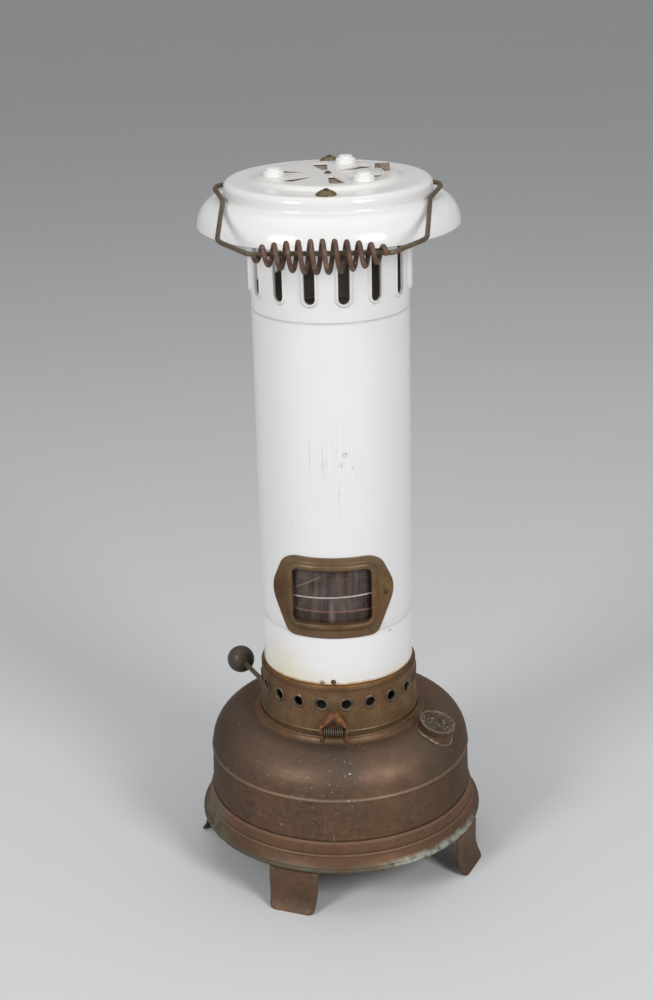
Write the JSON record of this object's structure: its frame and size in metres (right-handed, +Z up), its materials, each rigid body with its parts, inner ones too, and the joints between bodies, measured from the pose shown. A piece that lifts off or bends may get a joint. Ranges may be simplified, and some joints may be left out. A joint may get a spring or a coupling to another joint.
{
  "type": "paraffin heater",
  "caption": "Portable paraffin heater: white enamelled column with a hooded top and wire carrying handle, mica window, pierced gallery and round copper tank on strip feet.",
  "frame": {"origin": "on the column's axis at floor level, where the feet stand", "axes": "+Z up along the column, -Y to the front where the mica window and the catch are, +X to the heater's right side seen from the front, where the filler is"},
  "size_m": [0.2912, 0.3275, 0.6917],
  "materials": {
    "enamel": "gloss",
    "copper": "patinated",
    "aged_brass": "aged satin",
    "worn_brass": "worn",
    "mica": "clouded",
    "dark_wire": "tarnished",
    "rusty_steel": "rusted",
    "dark_ball": "satin",
    "cotton": "woven",
    "leather": "oiled"
  },
  "bodies": {
    "base": {"tank_shell": "copper", "tank_base": "copper", "base_ring": "copper", "foot_front": "copper", "foot_right": "copper", "foot_rear": "copper", "foot_left": "copper", "tank_collar": "aged_brass", "filler_neck": "aged_brass", "draught_tube": "aged_brass", "wick_tube": "aged_brass", "spindle_bracket": "rusty_steel", "flame_spreader": "aged_brass", "hinge_leaf_tank": "rusty_steel", "hinge_pin": "dark_wire"},
    "column": {"gallery": "aged_brass", "gallery_eyelets": "aged_brass", "column_tube": "enamel", "column_screws": "rusty_steel", "window_frame": "aged_brass", "mica_pane": "mica", "window_backing": "rusty_steel", "window_rivets": "rusty_steel", "air_collar": "enamel", "hood": "enamel", "hood_bolts": "rusty_steel", "hood_nuts": "aged_brass", "pot_pegs": "enamel", "damper_pivot": "rusty_steel", "catch_bracket": "rusty_steel", "catch_pin": "dark_wire", "catch_spring": "dark_wire", "hinge_leaf_column": "rusty_steel"},
    "handle": {"handle_bail": "dark_wire", "handle_grip": "dark_wire"},
    "damper": {"damper_disc": "rusty_steel"},
    "catch": {"catch_lever": "rusty_steel"},
    "winder": {"wick_spindle": "dark_wire", "wick_pinion": "rusty_steel", "ball_knob": "dark_ball"},
    "wick": {"wick": "cotton", "wick_carrier": "rusty_steel"},
    "seal": {"cap_seal": "leather"},
    "cap": {"filler_cap": "worn_brass"}
  },
  "joints": [
    {"name": "column_tilt", "type": "hinge", "parent": "base", "child": "column", "pos_m": [0, 0.0864, 0.163], "axis": [-1, 0, 0], "range_deg": [0, 60]},
    {"name": "handle_swing", "type": "hinge", "parent": "column", "child": "handle", "pos_m": [0, 0, 0.6752], "axis": [-0.9997, -0.0244, 0], "range_deg": [0, 197]},
    {"name": "damper_turn", "type": "hinge", "parent": "column", "child": "damper", "pos_m": [0, 0, 0.6813], "axis": [0, 0, 1], "range_deg": [0, 22]},
    {"name": "catch_press", "type": "hinge", "parent": "column", "child": "catch", "pos_m": [0, -0.0844, 0.166], "axis": [-1, 0, 0], "range_deg": [0, 15], "stiffness_Nm_per_rad": 0.05},
    {"name": "knob_turn", "type": "hinge", "parent": "base", "child": "winder", "pos_m": [-0.05163, -0.02897, 0.168], "axis": [0.4894, -0.8721, 0], "range_deg": [0, 95]},
    {"name": "wick_lift", "type": "slide", "parent": "base", "child": "wick", "axis": [0, 0, 1], "range_m": [0, 0.0099]},
    {"name": "cap_lift", "type": "slide", "parent": "base", "child": "seal", "axis": [0.2799, -0.1305, 0.9511], "range_m": [0, 0.006]},
    {"name": "cap_turn", "type": "hinge", "parent": "seal", "child": "cap", "pos_m": [0.09616, -0.04484, 0.14972], "axis": [0.2799, -0.1305, 0.9511], "range_deg": [0, 1081]}
  ],
  "couplings": [
    {"joint": "knob_turn", "follows": "wick_lift", "rad_per_m": 166.67},
    {"joint": "cap_turn", "follows": "cap_lift", "rad_per_m": 3141.6}
  ]
}
